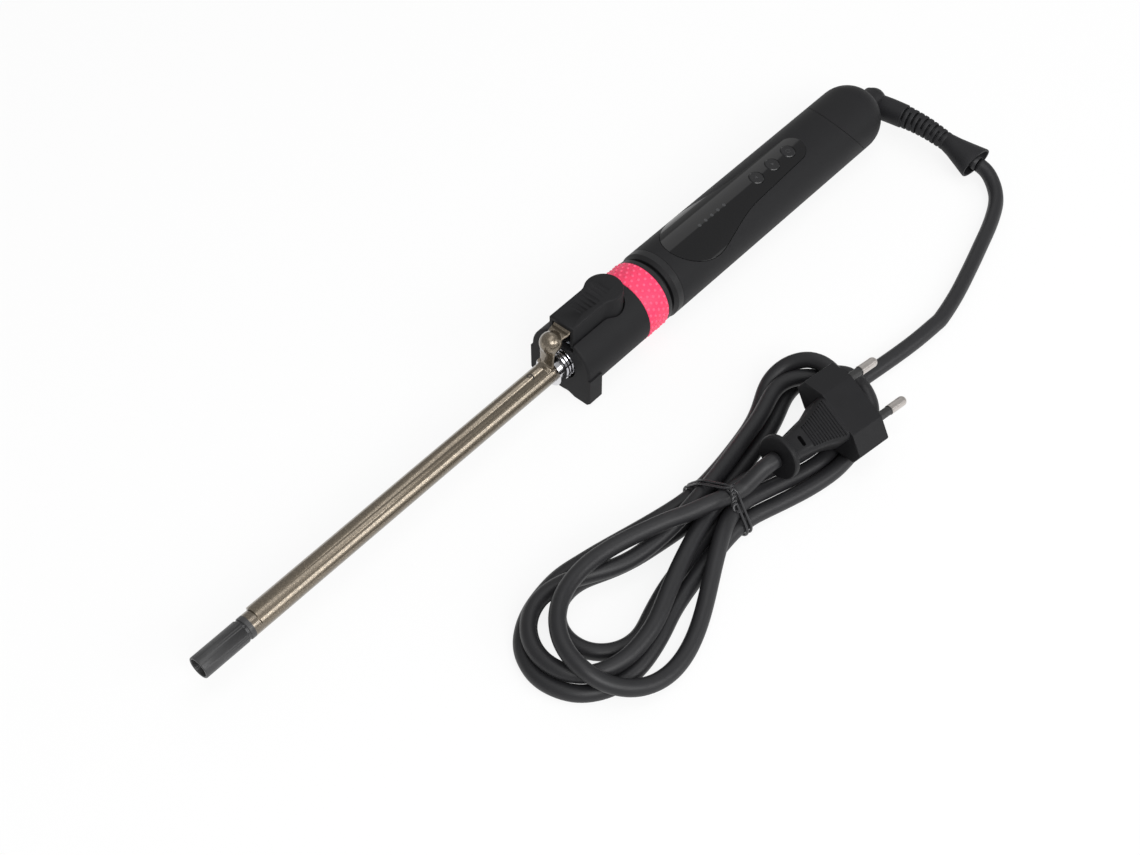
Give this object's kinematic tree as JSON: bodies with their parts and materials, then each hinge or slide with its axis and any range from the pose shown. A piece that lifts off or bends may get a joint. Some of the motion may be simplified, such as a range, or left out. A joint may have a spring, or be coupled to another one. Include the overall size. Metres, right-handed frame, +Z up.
{
  "type": "curling iron",
  "caption": "Slim curling iron with a clamp and thumb lever, a twist-on barrel attachment, a button panel, a swivel cord in a tied hank and a flat mains plug.",
  "frame": {"origin": "middle of the iron's length, on its axis seen from above, at the height of the surface it lies on; the cord, hank, plug and strain relief are left out of this", "axes": "+X along the iron from the cool tip towards the swivel, +Z up through the clamp and lever, +Y away from the side the cord lies on"},
  "size_m": [0.4046, 0.1354, 0.0367],
  "materials": {
    "tip_plastic": "matt, fine grained",
    "barrel_coating": "ceramic coated, satin",
    "clamp_coating": "ceramic coated, satin",
    "chrome": "polished",
    "steel": "plain",
    "spring_steel": "plain",
    "black_satin": "satin",
    "soft_black": "soft-touch coating",
    "gloss_black": "glossy",
    "grip_rubber": "matt rubber",
    "ceramic": "unglazed",
    "phenolic": "moulded",
    "mica": "wrapped sheet",
    "brass": "plain",
    "copper_lead": "silicone insulation",
    "board": "solder mask",
    "component": "moulded",
    "led": "clear resin",
    "light_guide": "frosted",
    "carbon": "pressed graphite",
    "cord_pvc": "satin",
    "plug_pvc": "satin",
    "pin_metal": "nickel plated",
    "sleeve_plastic": "moulded",
    "tie_plastic": "plastic over wire"
  },
  "bodies": {
    "handle": {"socket_ring": "soft_black", "contact_block": "phenolic", "socket_contacts": "brass", "handle_sleeve": "soft_black", "control_panel": "gloss_black", "button_switches": "component", "indicator_leds": "led", "light_windows": "light_guide", "circuit_board": "board", "board_screws": "steel", "power_components": "component", "board_tray": "component", "front_leads": "copper_lead", "rear_leads": "copper_lead", "end_cap": "soft_black", "brush_holder": "phenolic", "brushes": "carbon", "cord_lead": "cord_pvc", "cord_hank": "cord_pvc", "cord_tail": "cord_pvc", "twist_tie": "tie_plastic", "plug_body": "plug_pvc", "plug_pins": "pin_metal", "pin_sleeves": "sleeve_plastic"},
    "barrel_attachment": {"cool_tip": "tip_plastic", "tip_ring": "tip_plastic", "barrel_tube": "barrel_coating", "heater_core": "ceramic", "insulation_sleeve": "mica", "thermal_fuse": "steel", "barrel_ferrule": "chrome", "hinge_bracket": "steel", "hinge_pin": "steel", "torsion_spring": "spring_steel", "front_housing": "black_satin", "barrel_bush": "ceramic", "bush_screws": "steel", "grip_ring": "grip_rubber", "lock_plug": "black_satin", "contact_pins": "brass", "barrel_leads": "copper_lead"},
    "clamp_arm": {"clamp": "clamp_coating", "clamp_screws": "steel", "thumb_lever": "black_satin"},
    "power_key": {"power_button": "gloss_black"},
    "heat_up_key": {"heat_up_button": "gloss_black"},
    "heat_down_key": {"heat_down_button": "gloss_black"},
    "swivel": {"swivel_shaft": "gloss_black", "slip_rings": "brass", "strain_relief": "cord_pvc", "relief_lead": "cord_pvc"}
  },
  "joints": [
    {"name": "barrel_twist", "type": "hinge", "parent": "handle", "child": "barrel_attachment", "pos_m": [0.04, 0, 0.015], "axis": [-1, 0, 0], "range_deg": [0, 30]},
    {"name": "clamp_hinge", "type": "hinge", "parent": "barrel_attachment", "child": "clamp_arm", "pos_m": [-0.0106, 0, 0.031], "axis": [0, 1, 0], "range_deg": [0, 15], "stiffness_Nm_per_rad": 0.25, "springref_deg": -34.38, "deforming": ["torsion_spring"]},
    {"name": "power_press", "type": "slide", "parent": "handle", "child": "power_key", "axis": [0, 0.1478, -0.989], "range_m": [0, 0.0005], "stiffness_N_per_m": 600, "springref_m": -0.0012},
    {"name": "heat_up_press", "type": "slide", "parent": "handle", "child": "heat_up_key", "axis": [0, 0.1478, -0.989], "range_m": [0, 0.0005], "stiffness_N_per_m": 600, "springref_m": -0.0012},
    {"name": "heat_down_press", "type": "slide", "parent": "handle", "child": "heat_down_key", "axis": [0, 0.1478, -0.989], "range_m": [0, 0.0005], "stiffness_N_per_m": 600, "springref_m": -0.0012},
    {"name": "cord_swivel", "type": "hinge", "parent": "handle", "child": "swivel", "pos_m": [0.195, 0, 0.015], "axis": [-1, 0, 0], "continuous": true}
  ]
}
